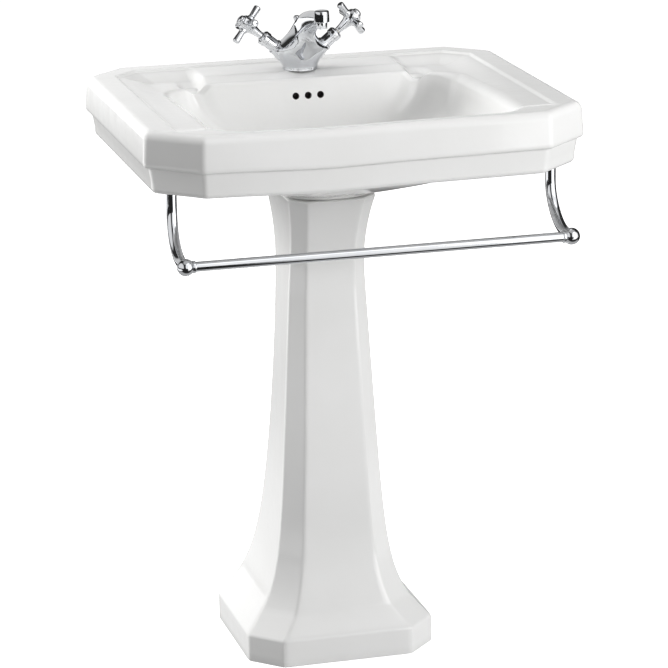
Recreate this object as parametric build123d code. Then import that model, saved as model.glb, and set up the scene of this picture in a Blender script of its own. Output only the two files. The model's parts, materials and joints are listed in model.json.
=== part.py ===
from build123d import *
import math
import os

# A pedestal washbasin with a one-hole mixer tap, pop-up waste, bottle trap and towel rail.
# Millimetres. X is to the right, Y towards the wall and Z up. The origin is on the floor,
# in the middle of the overall width and depth.

# ---------------------------------------------------------------- driving dimensions
overall_depth = 525.0                  # wall to the front of the towel rail's ball ends
basin_width = 610.0
basin_depth = 510.0
wall_y = overall_depth / 2
front_y = wall_y - basin_depth
half_width = basin_width / 2

rim_z = 829.0                          # top of the basin's rim
upper_band_height = 50.0
lower_band_height = 34.0
step_z = rim_z - upper_band_height
skirt_z = step_z - lower_band_height   # lower edge of the basin's skirt
front_corner = (67.0, 58.0)            # corner cuts of the octagon, along X and along Y
back_corner = (58.0, 55.0)
step_inset = 5.4
skirt_inset = 11.4
pocket_inset = 24.0
ledge_thickness = 16.0
china_wall = 12.0

bowl_front_y = -218.5
bowl_back_y = 120.0
bowl_half_width = 209.0
bowl_floor_z = 695.0
bowl_underside_z = 678.0
overflow_z = 797.0
overflow_pitch = 18.2
overflow_r = 5.0
platform_half_width = 149.0
platform_drop = 6.0                    # fall of the tap platform towards the bowl
duct_gap = 6.0                         # front to back, inside the overflow rib
recess_x = 190.0                       # soap recesses, beside the tap platform
recess_y = 174.0
notch_x = 168.0                        # the notches that drain them into the bowl
notch_y = 122.0
wall_bolt_x = 140.0
wall_bolt_z = 795.0
wall_bolt_r = 7.0

waste_y = 60.0
waste_hole_r = 23.0
waste_boss_z = 670.0
waste_body_z = 600.0                   # lower end of the waste, where the trap joins it
waste_joint_z = 654.0                  # top of the waste's lower body
waste_bore_r = 17.0
waste_tube_r = 20.5
waste_body_r = 24.0
flange_r = 31.5

tap_y = 166.0
tap_hole_r = 17.5
tap_tilt = 40.0                        # the valve axes rise at this angle to the level
tap_axis_z = 831.5                     # where the two valve axes meet
seal_thickness = 2.0
nozzle_y = 40.5
nozzle_top_z = 931.0
nozzle_z = 914.0
outlet_z = 906.0
spindle_r = 3.7
stud_y = 153.5
stud_r = 4.0
nozzle_r = 10.5
aerator_r = 7.6
hub_level = 104.0                      # distances along a valve's axis, from where the axes meet
arm_level = 101.0
arm_reach = 31.0
arm_turn = 16.0                        # turn of the cross heads when the valves are shut

lift_y = 180.0
lift_rod_r = 2.5
running_gap = 0.06
pivot_y = 78.0
pivot_z = 632.0
pivot_ball_r = 5.5
pivot_rod_r = 2.5
clamp_z = 677.0

pedestal_top_z = 676.0
base_half_width = 138.5
base_front_y = -57.5
base_back_y = 213.5
base_corner = 43.0
base_height = 43.0
base_slope = 27.0
pedestal_wall = 11.0
slot_half_width = 31.0
lug_x = 100.0                          # floor screws
lug_y = 138.0

rail_x = 267.8
rail_y = -wall_y + 11.6
rail_z = 657.0
rail_ball_r = 11.6
rail_bar_r = 6.8
rail_bracket_r = 7.0
rail_post_y = -166.5
rail_bend_r = 62.0
rail_flange_r = 15.0
rail_stud_r = 4.0

tail_r = 5.0
tail_x = 9.5
tail_y = 165.0
tail_splay_x = 30.0
tail_knee_z = 785.0
tail_hip_z = 725.0
tail_end_z = 480.0
tail_socket_r = 7.5                    # swaged end that takes a 15 mm coupler
tail_socket_length = 40.0

trap_r = 29.0
trap_wall = 3.0
trap_tube_r = 16.0
trap_outlet_z = 540.0
waste_pipe_r = 16.0
pipe_mark = 45.0                       # insertion mark, from the free end of the waste pipe

os.makedirs("parts", exist_ok=True)


# ---------------------------------------------------------------- small shape helpers
def save(node, shape):
    """One STEP for each sub-part, with its solids side by side."""
    export_step(Compound(children=list(shape.solids())), f"parts/{node}.step")


def rod(radius, low, high, x=0.0, y=0.0):
    height = high - low
    return Pos(x, y, low) * Cylinder(radius, height, align=(Align.CENTER, Align.CENTER, Align.MIN))


def ring(outer, inner, low, high, x=0.0, y=0.0):
    return rod(outer, low, high, x, y) - rod(inner, low - 1, high + 1, x, y)


def rod_along_y(radius, low, high, x, z):
    return Plane(origin=(x, low, z), z_dir=(0, 1, 0)) * rod(radius, 0, high - low)


def rod_along_x(radius, low, high, y, z):
    return Plane(origin=(low, y, z), z_dir=(1, 0, 0)) * rod(radius, 0, high - low)


def block(x, y, z):
    """A box from three pairs of limits."""
    size = [high - low for low, high in (x, y, z)]
    return Pos(x[0], y[0], z[0]) * Box(*size, align=(Align.MIN, Align.MIN, Align.MIN))


def hex_nut(across_flats, bore, low, high, x=0.0, y=0.0):
    outline = RegularPolygon(across_flats / 2, 6, major_radius=False)
    return extrude(Pos(x, y, low) * outline, high - low) - rod(bore, low - 1, high + 1, x, y)


def cut_octagon(half_x, low_y, high_y, front, back, corner_r, z):
    """A face with its four corners cut off and its eight vertices rounded."""
    points = [
        (half_x, low_y + front[1]), (half_x, high_y - back[1]),
        (half_x - back[0], high_y), (-half_x + back[0], high_y),
        (-half_x, high_y - back[1]), (-half_x, low_y + front[1]),
        (-half_x + front[0], low_y), (half_x - front[0], low_y),
    ]
    face = make_face(Polyline(*points, close=True))
    if corner_r:
        face = fillet(face.vertices(), corner_r)
    return Pos(0, 0, z) * face


def inset_corner(corner, inset):
    """The corner cut of an octagon that has moved inwards on every side."""
    along_x, along_y = corner
    slope = math.hypot(along_x, along_y)
    return (
        along_x - inset * (1 + (along_x - slope) / along_y),
        along_y - inset * (1 + (along_y - slope) / along_x),
    )


def basin_octagon(inset, corner_r, z):
    front = inset_corner(front_corner, inset)
    back = inset_corner(back_corner, inset)
    return cut_octagon(half_width - inset, front_y + inset, wall_y - inset, front, back, corner_r, z)


# ---------------------------------------------------------------- basin
def bowl_section(z, half_x, low_y, high_y, corner_r, grow=0.0):
    outline = RectangleRounded(2 * (half_x + grow), high_y - low_y + 2 * grow, corner_r + grow)
    return Pos(0, (low_y + high_y) / 2, z) * outline


def bowl_cavity():
    """Steep at the back, and falling gently from the front and sides to the waste."""
    stations = [
        (rim_z + 8, bowl_half_width, bowl_front_y, bowl_back_y, 42),
        (790, bowl_half_width - 6, bowl_front_y + 6, bowl_back_y - 6, 46),
        (762, bowl_half_width - 21, bowl_front_y + 26, bowl_back_y - 11, 56),
        (738, bowl_half_width - 53, bowl_front_y + 62, bowl_back_y - 15, 62),
        (718, bowl_half_width - 97, bowl_front_y + 118, bowl_back_y - 18, 62),
        (702, bowl_half_width - 133, bowl_front_y + 174, bowl_back_y - 19, 58),
        (bowl_floor_z, bowl_half_width - 157, bowl_front_y + 214, bowl_back_y - 21, 44),
    ]
    return loft([bowl_section(*station) for station in stations])


def bowl_outside():
    stations = [
        (rim_z - 2, bowl_half_width, bowl_front_y, bowl_back_y, 44),
        (780, bowl_half_width - 10, bowl_front_y + 12, bowl_back_y - 7, 48),
        (750, bowl_half_width - 27, bowl_front_y + 32, bowl_back_y - 12, 58),
        (724, bowl_half_width - 63, bowl_front_y + 72, bowl_back_y - 16, 64),
        (704, bowl_half_width - 105, bowl_front_y + 126, bowl_back_y - 19, 62),
        (688, bowl_half_width - 135, bowl_front_y + 178, bowl_back_y - 20, 58),
        (bowl_underside_z, bowl_half_width - 153, bowl_front_y + 204, bowl_back_y - 21, 46),
    ]
    return loft([bowl_section(*station, grow=china_wall) for station in stations])


def rim_bands():
    upper = extrude(basin_octagon(0, 12, step_z), upper_band_height)
    upper = fillet(upper.edges().group_by(Axis.Z)[-1], 10)
    upper = fillet(upper.edges().group_by(Axis.Z)[0], 3)
    lower = loft([basin_octagon(skirt_inset, 10, skirt_z), basin_octagon(step_inset, 10, step_z + 1)])
    return upper + lower


def basin_pocket():
    """The space under the rim, which the skirt hides, with webs left for the rail's studs."""
    height = rim_z - ledge_thickness - skirt_z
    pocket = extrude(basin_octagon(pocket_inset, 0, skirt_z - 1), height + 1)
    for side in (-1, 1):
        web_x = sorted((side * (rail_x - 22), side * half_width))
        pocket -= block(web_x, (rail_post_y - 22, rail_post_y + 22), (skirt_z - 2, skirt_z + 12))
    return pocket


def moulded_tray():
    """The shallow step round the inside of the rim's border."""
    wide = basin_octagon(38, 8, rim_z + 0.5)
    narrow = basin_octagon(43, 8, rim_z - 2.5)
    tray = loft([narrow, wide])
    tray -= block((-half_width, half_width), (front_y, front_y + 62), (rim_z - 5, rim_z + 5))
    return tray - block((-platform_half_width, platform_half_width), (0, wall_y), (rim_z - 5, rim_z + 5))


def soap_recess(side):
    """A shelf beside the tap platform, with the notch that drains it into the bowl."""
    top = Pos(side * recess_x, recess_y, rim_z + 1) * RectangleRounded(78, 80, 12)
    floor = Pos(side * recess_x, recess_y, rim_z - 10) * RectangleRounded(66, 68, 8)
    notch_top = Pos(side * notch_x, notch_y, rim_z + 1) * Rectangle(38, 64)
    notch_floor = Pos(side * notch_x, notch_y, rim_z - 12) * Rectangle(22, 64)
    return loft([floor, top]) + loft([notch_floor, notch_top])


def platform_level():
    """What is taken off the tap platform: level under the tap, and falling in front of it."""
    tap_front_y = tap_y - 28
    outline = Polyline(
        (bowl_back_y, rim_z + 5), (bowl_back_y, rim_z - 1 - platform_drop),
        (tap_front_y, rim_z - 1), (225, rim_z - 1), (225, rim_z + 5), close=True,
    )
    return extrude(Plane.YZ * make_face(outline), platform_half_width, both=True)


def overflow_duct():
    """The hollow rib behind the bowl that joins the overflow holes to the waste hole."""
    back = bowl_back_y + 20
    channel_front = back - 6 - duct_gap
    rib = block((-34, 34), (bowl_back_y - 16, back), (bowl_underside_z, rim_z - 8))
    foot = block((-24, 24), (waste_y, back), (waste_boss_z, bowl_floor_z - 2))
    channel = block((-27, 27), (channel_front, back - 6), (682, overflow_z + 8))
    channel += block((-10, 10), (waste_y, back - 6), (682, 688))
    return rib + foot, channel


def make_basin():
    rib, channel = overflow_duct()
    bowl = bowl_outside() + rib + rod(waste_hole_r + 13, waste_boss_z, bowl_floor_z, 0, waste_y)
    basin = rim_bands() - (basin_pocket() - bowl) + bowl
    basin -= moulded_tray()
    basin -= bowl_cavity()
    basin -= channel
    for side in (-1, 1):
        basin -= soap_recess(side)
        basin -= rod(5, skirt_z - 2, skirt_z + 14, side * rail_x, rail_post_y)
        basin -= rod_along_y(wall_bolt_r, wall_y - 40, wall_y + 1, side * wall_bolt_x, wall_bolt_z)
    for hole in (-1, 0, 1):
        basin -= rod_along_y(
            overflow_r, bowl_back_y - 30, bowl_back_y + 11, hole * overflow_pitch, overflow_z
        )
    basin -= rod(tap_hole_r, rim_z - 30, rim_z + 5, 0, tap_y)
    basin -= rod(waste_hole_r, waste_boss_z - 5, bowl_floor_z + 5, 0, waste_y)
    return basin - platform_level()


# ---------------------------------------------------------------- pedestal
column_foot_z = base_height + base_slope


def column_station(z):
    """Half width, front, front cut, end of the side face and back cut of the column at z.

    It tapers evenly, with a flare into the plinth below and a flare under the basin above.
    """
    foot_flare = math.exp(-(z - column_foot_z) / 48)
    side_flare = max(0, (z - 560) / 116) ** 2
    front_flare = max(0, (z - 530) / 146) ** 2
    half_x = 87 - 0.0563 * z + 27.9 * foot_flare + 15.1 * side_flare
    front = -17 + 0.0545 * z - 20 * foot_flare - 45 * front_flare
    if z < 450:
        side_end = 105 + 0.00046 * (450 - z) ** 2
    else:
        side_end = 105 + 32 * ((z - 450) / (pedestal_top_z - 450)) ** 2
    front_cut = 0.36 * half_x - 0.5
    return z, half_x, front, front_cut, side_end, 0.9 * front_cut


def column_heights():
    """Closer together in the foot's flare, and even above it."""
    low = [column_foot_z + 16 * step for step in range(5)]
    count = 11
    rise = (pedestal_top_z - low[-1]) / count
    return low + [low[-1] + rise * step for step in range(1, count + 1)]


def pedestal_section(z, half_x, front, front_cut, side_end, back_cut, inset=0.0):
    keep = 2 - math.sqrt(2)
    front_pair = (front_cut - inset * keep,) * 2
    back_pair = (back_cut - inset * keep,) * 2
    back = side_end + back_cut
    return cut_octagon(half_x - inset, front + inset, back - inset, front_pair, back_pair, 3.5, z)


def pedestal_outside():
    foot = cut_octagon(
        base_half_width, base_front_y, base_back_y, (base_corner,) * 2, (base_corner,) * 2, 5, 0
    )
    plinth = extrude(foot, base_height)
    plinth = fillet(plinth.edges().group_by(Axis.Z)[-1], 4)
    top = base_half_width - 2
    slope = loft([
        cut_octagon(top, base_front_y + 2, base_back_y - 2, (42, 42), (42, 42), 5, base_height - 0.5),
        pedestal_section(*column_station(column_foot_z)),
    ])
    column = loft([pedestal_section(*column_station(z)) for z in column_heights()])
    return plinth + slope + column


def pedestal_inside():
    """The hollow, which the slot opens to the back from the floor to the top."""
    stations = [
        (-1, base_half_width - 3, base_front_y + 3, 36, base_back_y - 40, 36),
        (base_height, base_half_width - 7, base_front_y + 8, 36, base_back_y - 46, 36),
    ]
    stations += [column_station(z) for z in column_heights()]
    stations.append((pedestal_top_z + 1, *column_station(pedestal_top_z)[1:]))
    faces = [pedestal_section(*station, inset=pedestal_wall) for station in stations]
    hollow = loft(faces, ruled=True)
    return hollow + block((-slot_half_width, slot_half_width), (90, 230), (-1, pedestal_top_z + 1))


def make_pedestal():
    pedestal = pedestal_outside() - pedestal_inside()
    for side in (-1, 1):
        lug_sides = sorted((side * (lug_x - 22), side * (lug_x + 28)))
        pedestal += block(lug_sides, (lug_y - 20, lug_y + 20), (0, 12))
        pedestal -= rod(4, -1, 13, side * lug_x, lug_y)
    return pedestal


def make_seat_pads():
    low, high = pedestal_top_z, bowl_underside_z
    pads = []
    for side in (-1, 1):
        pads.append(block(sorted((side * 14, side * 30)), (-15.5, -7.5), (low, high)))
        pads.append(block(sorted((side * 54.5, side * 62.5)), (60, 76), (low, high)))
    return Compound(children=pads)


# ---------------------------------------------------------------- mixer tap
def valve_plane(side, distance):
    """A plane across one valve's axis, at a distance from where the two axes meet."""
    run = math.cos(math.radians(tap_tilt))
    rise = math.sin(math.radians(tap_tilt))
    origin = (side * distance * run, tap_y, tap_axis_z + distance * rise)
    return Plane(origin=origin, x_dir=(0, 1, 0), z_dir=(side * run, 0, rise))


def valve_rod(side, radius, low, high):
    return valve_plane(side, low) * rod(radius, 0, high - low)


def valve_cone(side, low_r, high_r, low, high):
    height = high - low
    cone = Cone(low_r, high_r, height, align=(Align.CENTER, Align.CENTER, Align.MIN))
    return valve_plane(side, low) * cone


def spout():
    """The spout leans out of the body and ends over the bowl in a round nozzle."""
    stations = [
        (166, 850, 24, 22, 0), (164, 872, 19, 19, 8), (154, 892, 15, 16, 32),
        (130, 907, 13, 13, 60), (96, 916, 11.5, 11, 76), (58, 921, 10, 9, 84), (40, 922, 9.5, 8, 88),
    ]
    faces = []
    for y, z, half_x, half_z, lean in stations:
        angle = math.radians(lean)
        plane = Plane(origin=(0, y, z), x_dir=(1, 0, 0), z_dir=(0, -math.sin(angle), math.cos(angle)))
        faces.append(plane * Ellipse(half_x, half_z))
    return loft(faces)


def make_tap_body():
    foot_z = rim_z - 1 + seal_thickness
    body_stations = [
        (foot_z, 26, 26), (foot_z + 7, 25, 25), (foot_z + 18, 30, 24.5),
        (foot_z + 28, 35, 23), (foot_z + 38, 28, 21), (foot_z + 50, 18, 18),
    ]
    body = loft([Pos(0, tap_y, z) * Ellipse(half_x, half_y) for z, half_x, half_y in body_stations])
    for side in (-1, 1):
        body += valve_cone(side, 14, 11, 22, 46)
    body += spout()
    body += fillet(rod(nozzle_r, nozzle_z, nozzle_top_z, 0, nozzle_y).edges().group_by(Axis.Z)[-1], 4)
    body += rod(5, foot_z + 10, foot_z + 38, 0, lift_y)
    for side in (-1, 1):
        body -= valve_rod(side, 8.5, 24, 50)
        body -= rod(tail_r, foot_z - 1, foot_z + 12, side * tail_x, tail_y)
    body -= rod(8, nozzle_z - 1, nozzle_z + 9, 0, nozzle_y)
    body -= rod(stud_r, foot_z - 1, foot_z + 14, 0, stud_y)
    return body - rod(lift_rod_r + running_gap, foot_z - 1, foot_z + 60, 0, lift_y)


def make_tap_seal():
    low = rim_z - 1
    return ring(25, 17, low, low + seal_thickness, 0, tap_y)


def make_aerator():
    housing = rod(aerator_r, outlet_z, nozzle_z, 0, nozzle_y)
    housing += rod(aerator_r + 0.3, nozzle_z, nozzle_z + 6, 0, nozzle_y)
    housing -= rod(6.4, outlet_z - 1, nozzle_z + 7, 0, nozzle_y)
    insert = rod(6.3, outlet_z + 2, outlet_z + 9, 0, nozzle_y)
    for turn in range(6):
        angle = math.radians(60 * turn)
        hole = (3.6 * math.cos(angle), nozzle_y + 3.6 * math.sin(angle))
        insert -= rod(1.1, outlet_z, outlet_z + 12, *hole)
    return housing, insert


def make_valve(side):
    """The fixed bonnet and cartridge of one valve, and its spindle, which turns."""
    bonnet = valve_rod(side, 11.2, 46, 49) + valve_rod(side, 9.3, 49, 64)
    bonnet += valve_rod(side, 10.6, 64, 70) + valve_cone(side, 10.6, 7.5, 70, 73)
    bonnet -= valve_rod(side, 8.4, 45, 68)
    bonnet -= valve_rod(side, spindle_r + running_gap, 60, 74)
    cartridge = valve_rod(side, 8.3, 26, 66) - valve_rod(side, spindle_r + running_gap, 41.5, 67)
    spindle = valve_rod(side, spindle_r, 42, 86)
    return bonnet, cartridge, spindle


def make_handle(side):
    """A cross head: a long cone, a round hub and four arms with rounded ends."""
    hub = valve_plane(side, hub_level) * Sphere(11)
    hub = hub & valve_rod(side, 12, hub_level - 9, hub_level + 6)
    skirt = valve_cone(side, 5, 7.6, 74, 97)
    handle = hub + skirt
    for turn in range(4):
        arm = Rot(0, 0, arm_turn + 90 * turn) * (Rot(0, 90, 0) * cross_arm())
        handle += valve_plane(side, arm_level) * arm
    handle -= valve_rod(side, spindle_r, 73, 86)
    handle -= valve_rod(side, 2.1, 86, 111)
    handle -= valve_rod(side, 4.2, 104.6, 111)
    screw = valve_rod(side, 2, 86, 105) + valve_rod(side, 4, 105, 108)
    cap = valve_rod(side, 8, 110, 111.5) + valve_rod(side, 4.1, 108.5, 110)
    cap += (valve_plane(side, 106.5) * Sphere(9.4)) & valve_rod(side, 10, 111.4, 117)
    return handle, screw, cap


def cross_arm():
    """One arm, drawn along Z from the hub's centre, a little wider at its tip."""
    arm = Cone(4.4, 5.3, arm_reach, align=(Align.CENTER, Align.CENTER, Align.MIN))
    return fillet(arm.edges().group_by(Axis.Z)[-1], 2)


def make_tap_fixing():
    low = rim_z - ledge_thickness
    stud = rod(stud_r, low - 24, rim_z + 15, 0, stud_y)
    stud_hole = rod(stud_r, low - 14, low + 1, 0, stud_y)
    slot = block((-14.6, 14.6), (159, 200), (low - 10, low + 1))
    rubber = rod(21, low - 3, low, 0, tap_y) - slot - stud_hole
    metal = rod(21, low - 5.5, low - 3, 0, tap_y) - slot - stud_hole
    nut = hex_nut(13, stud_r, low - 13, low - 5.5, 0, stud_y)
    return stud, rubber, metal, nut


def make_tail(side):
    """A copper tail: down through the tap hole, out to the side, and down to its swaged end."""
    top = (side * tail_x, tail_y, rim_z + 12)
    knee = (side * tail_x, tail_y, tail_knee_z)
    hip = (side * tail_splay_x, tail_y, tail_hip_z)
    foot = (side * tail_splay_x, tail_y, tail_end_z)
    path = FilletPolyline(top, knee, hip, foot, radius=45)
    tube = sweep(Plane(origin=top, z_dir=(0, 0, -1)) * Circle(tail_r), path=path)
    socket_top = tail_end_z + tail_socket_length
    place = (side * tail_splay_x, tail_y)
    tube += rod(tail_socket_r, tail_end_z, socket_top, *place)
    swage = Cone(tail_socket_r, tail_r, 5, align=(Align.CENTER, Align.CENTER, Align.MIN))
    tube += Pos(*place, socket_top) * swage
    return tube - rod(tail_socket_r - 0.8, tail_end_z - 1, socket_top - 2, *place)


# ---------------------------------------------------------------- pop-up waste
def make_lift_rod():
    top = rim_z + 66
    rod_piece = rod(lift_rod_r, 668, top, 0, lift_y)
    knob = Pos(0, lift_y, top + 3.4) * Sphere(4.6)
    knob -= rod(lift_rod_r, 600, top, 0, lift_y)
    strap = block((-9, 9), (lift_y - 1, lift_y + 1), (618, 690))
    strap -= rod_along_y(5, lift_y - 3, lift_y + 3, 0, pivot_z)
    strap -= block((-4.1, 4.1), (lift_y - 3, lift_y + 3), (660, 691))
    clamp_block = block((-9, 9), (lift_y - 5, lift_y + 5), (clamp_z - 5, clamp_z + 5))
    clamp_block -= rod(lift_rod_r, 660, 700, 0, lift_y)
    clamp_block -= strap
    clamp_block -= rod_along_x(2, -12, -lift_rod_r, lift_y + 3, clamp_z)
    screw = rod_along_x(4, -13, -9, lift_y + 3, clamp_z)
    screw += rod_along_x(2, -9, -lift_rod_r, lift_y + 3, clamp_z)
    return rod_piece, knob, strap, clamp_block, screw


def make_pivot():
    ball = Pos(0, pivot_y, pivot_z) * Sphere(pivot_ball_r)
    pivot = ball + rod_along_y(pivot_rod_r, waste_y - 2, lift_y + 16, 0, pivot_z)
    clip = rod_along_y(4.5, lift_y + 9, lift_y + 12, 0, pivot_z)
    clip -= rod_along_y(pivot_rod_r, lift_y, lift_y + 20, 0, pivot_z)
    return pivot, clip


def make_plug():
    seat = bowl_floor_z + 3.5
    cap = rod(15.2, seat + 2, seat + 5, 0, waste_y) + rod(18.6, seat + 5, seat + 8, 0, waste_y)
    cap = fillet(cap.edges().group_by(Axis.Z)[-1], 2.4)
    stem = rod(6, pivot_z - 12, seat + 3, 0, waste_y)
    plug = cap + stem
    plug -= block((-3.6, 3.6), (waste_y - 10, waste_y + 10), (pivot_z - 4.5, pivot_z + 4.5))
    seal = ring(16.6, 15.2, seat + 2.2, seat + 4.6, 0, waste_y)
    return plug, seal


def make_waste():
    floor = bowl_floor_z
    seal = ring(30, waste_hole_r - 2, floor, floor + 1.5, 0, waste_y)
    flange = rod(flange_r, floor + 1.5, floor + 3.5, 0, waste_y)
    flange += rod(waste_tube_r, waste_joint_z - 8, floor + 2, 0, waste_y)
    flange -= rod(waste_bore_r, waste_joint_z - 14, floor + 10, 0, waste_y)
    flange -= block((-40, 40), (waste_y - 6, waste_y + 6), (679, 690))
    thread_r = waste_tube_r + 0.1
    lower_seal = ring(29, thread_r, waste_boss_z - 5, waste_boss_z, 0, waste_y)
    nut = hex_nut(56, thread_r, waste_boss_z - 13, waste_boss_z - 5, 0, waste_y)
    body = rod(waste_body_r, waste_body_z, waste_joint_z, 0, waste_y)
    body -= rod(thread_r, waste_joint_z - 8.1, waste_joint_z + 1, 0, waste_y)
    body += rod_along_y(11, waste_y + 20, pivot_y + 10, 0, pivot_z)
    body -= rod(waste_bore_r, waste_body_z - 2, waste_joint_z - 4, 0, waste_y)
    body -= rod_along_y(6, waste_y + 10, pivot_y + 13, 0, pivot_z)
    port_nut = rod_along_y(14, pivot_y + 7, pivot_y + 16, 0, pivot_z)
    port_nut -= rod_along_y(11.1, pivot_y, pivot_y + 10.2, 0, pivot_z)
    mouth = Plane(origin=(0, pivot_y, pivot_z), z_dir=(0, 1, 0))
    port_nut -= mouth * Cone(2.8, 9.4, 17, align=(Align.CENTER, Align.CENTER, Align.MIN))
    return flange, seal, lower_seal, nut, body, port_nut


def make_trap():
    """A bottle trap, whose outlet pipe runs level out of the open back to the wall."""
    top = trap_outlet_z + 28
    socket_r = trap_tube_r + 0.1
    joint_z = trap_outlet_z - 24
    cup_z = trap_outlet_z - 85
    inlet = ring(trap_tube_r, trap_tube_r - 1.5, trap_outlet_z - 30, waste_body_z, 0, waste_y)
    inlet_nut = hex_nut(46, socket_r, top, top + 14, 0, waste_y)
    body = rod(trap_r, joint_z, top, 0, waste_y)
    body += rod_along_y(19, waste_y + 20, waste_y + 44, 0, trap_outlet_z)
    body -= rod(trap_r - trap_wall, joint_z - 1, top - 4, 0, waste_y)
    body -= rod(socket_r, top - 10, top + 1, 0, waste_y)
    body -= rod_along_y(socket_r, waste_y + 22, waste_y + 45, 0, trap_outlet_z)
    seal = ring(trap_r, trap_r - 4, joint_z - 3, joint_z, 0, waste_y)
    cup = rod(trap_r, cup_z, joint_z - 3, 0, waste_y)
    cup = fillet(cup.edges().group_by(Axis.Z)[0], 8)
    cup -= rod(trap_r - trap_wall, cup_z + trap_wall, joint_z - 2, 0, waste_y)
    outlet_nut = rod_along_y(23, waste_y + 44, waste_y + 58, 0, trap_outlet_z)
    outlet_nut -= rod_along_y(socket_r, waste_y + 40, waste_y + 60, 0, trap_outlet_z)
    pipe = rod_along_y(waste_pipe_r, waste_y + 32, wall_y, 0, trap_outlet_z)
    pipe -= rod_along_y(waste_pipe_r - 1.8, waste_y + 30, wall_y + 1, 0, trap_outlet_z)
    mark_y = wall_y - pipe_mark
    groove = rod_along_y(waste_pipe_r + 2, mark_y - 2, mark_y, 0, trap_outlet_z)
    pipe -= groove - rod_along_y(waste_pipe_r - 0.5, mark_y - 3, mark_y + 1, 0, trap_outlet_z)
    return inlet, inlet_nut, body, seal, cup, outlet_nut, pipe


# ---------------------------------------------------------------- towel rail
def make_rail_bar():
    bar = rod_along_x(rail_bar_r, -rail_x + 6, rail_x - 6, rail_y, rail_z)
    return bar - rod_along_x(rail_bar_r - 1.2, -rail_x, rail_x, rail_y, rail_z)


def make_rail_ball(side):
    ball = Pos(side * rail_x, rail_y, rail_z) * Sphere(rail_ball_r)
    socket = sorted((side * (rail_x - 6), side * (rail_x - 20)))
    ball -= rod_along_x(rail_bar_r, *socket, rail_y, rail_z)
    return ball - rod_along_y(rail_bracket_r, rail_y + 7, rail_y + 20, side * rail_x, rail_z)


def make_rail_bracket(side):
    x = side * rail_x
    start = (x, rail_y + 7, rail_z)
    corner = (x, rail_post_y, rail_z)
    top = (x, rail_post_y, skirt_z - 5)
    path = FilletPolyline(start, corner, top, radius=rail_bend_r)
    return sweep(Plane(origin=start, z_dir=(0, 1, 0)) * Circle(rail_bracket_r), path=path)


def make_rail_fixings():
    flanges, studs, washers, nuts = [], [], [], []
    for side in (-1, 1):
        place = (side * rail_x, rail_post_y)
        flange = rod(rail_flange_r, skirt_z - 5, skirt_z, *place)
        flange = fillet(flange.edges().group_by(Axis.Z)[0], 2)
        flanges.append(flange)
        studs.append(rod(rail_stud_r, skirt_z, skirt_z + 30, *place))
        washers.append(ring(10, rail_stud_r, skirt_z + 12, skirt_z + 14, *place))
        nuts.append(hex_nut(13, rail_stud_r, skirt_z + 14, skirt_z + 20.5, *place))
    return [Compound(children=group) for group in (flanges, studs, washers, nuts)]


# ---------------------------------------------------------------- write every sub-part
save("basin", make_basin())
save("pedestal", make_pedestal())
save("seat_pads", make_seat_pads())

save("tap_body", make_tap_body())
save("tap_base_seal", make_tap_seal())
aerator_housing, aerator_insert = make_aerator()
save("aerator_housing", aerator_housing)
save("aerator_insert", aerator_insert)
for name, side in (("hot", -1), ("cold", 1)):
    bonnet, cartridge, spindle = make_valve(side)
    handle, screw, cap = make_handle(side)
    save(f"{name}_bonnet", bonnet)
    save(f"{name}_cartridge", cartridge)
    save(f"{name}_spindle", spindle)
    save(f"{name}_handle", handle)
    save(f"{name}_handle_screw", screw)
    save(f"{name}_index_cap", cap)
    save(f"{name}_tail", make_tail(side))
fixing_nodes = ("tap_stud", "tap_rubber_washer", "tap_metal_washer", "tap_nut")
for node, shape in zip(fixing_nodes, make_tap_fixing()):
    save(node, shape)

lift_nodes = ("lift_rod", "lift_knob", "lift_strap", "strap_clamp", "strap_screw")
for node, shape in zip(lift_nodes, make_lift_rod()):
    save(node, shape)
for node, shape in zip(("pivot_rod", "pivot_clip"), make_pivot()):
    save(node, shape)
for node, shape in zip(("plug", "plug_seal"), make_plug()):
    save(node, shape)
waste_nodes = ("waste_flange", "waste_flange_seal", "waste_lower_seal", "waste_back_nut",
               "waste_body", "pivot_nut")
for node, shape in zip(waste_nodes, make_waste()):
    save(node, shape)
trap_nodes = ("trap_inlet_tube", "trap_inlet_nut", "trap_body", "trap_seal", "trap_cup",
              "trap_outlet_nut", "waste_pipe")
for node, shape in zip(trap_nodes, make_trap()):
    save(node, shape)

save("rail_bar", make_rail_bar())
for name, side in (("left", -1), ("right", 1)):
    save(f"rail_ball_{name}", make_rail_ball(side))
    save(f"rail_bracket_{name}", make_rail_bracket(side))
for node, shape in zip(("rail_flanges", "rail_studs", "rail_washers", "rail_nuts"), make_rail_fixings()):
    save(node, shape)
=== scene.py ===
import json
import math

import bmesh
import bpy
import numpy as np
from mathutils import Matrix, Vector


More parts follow.
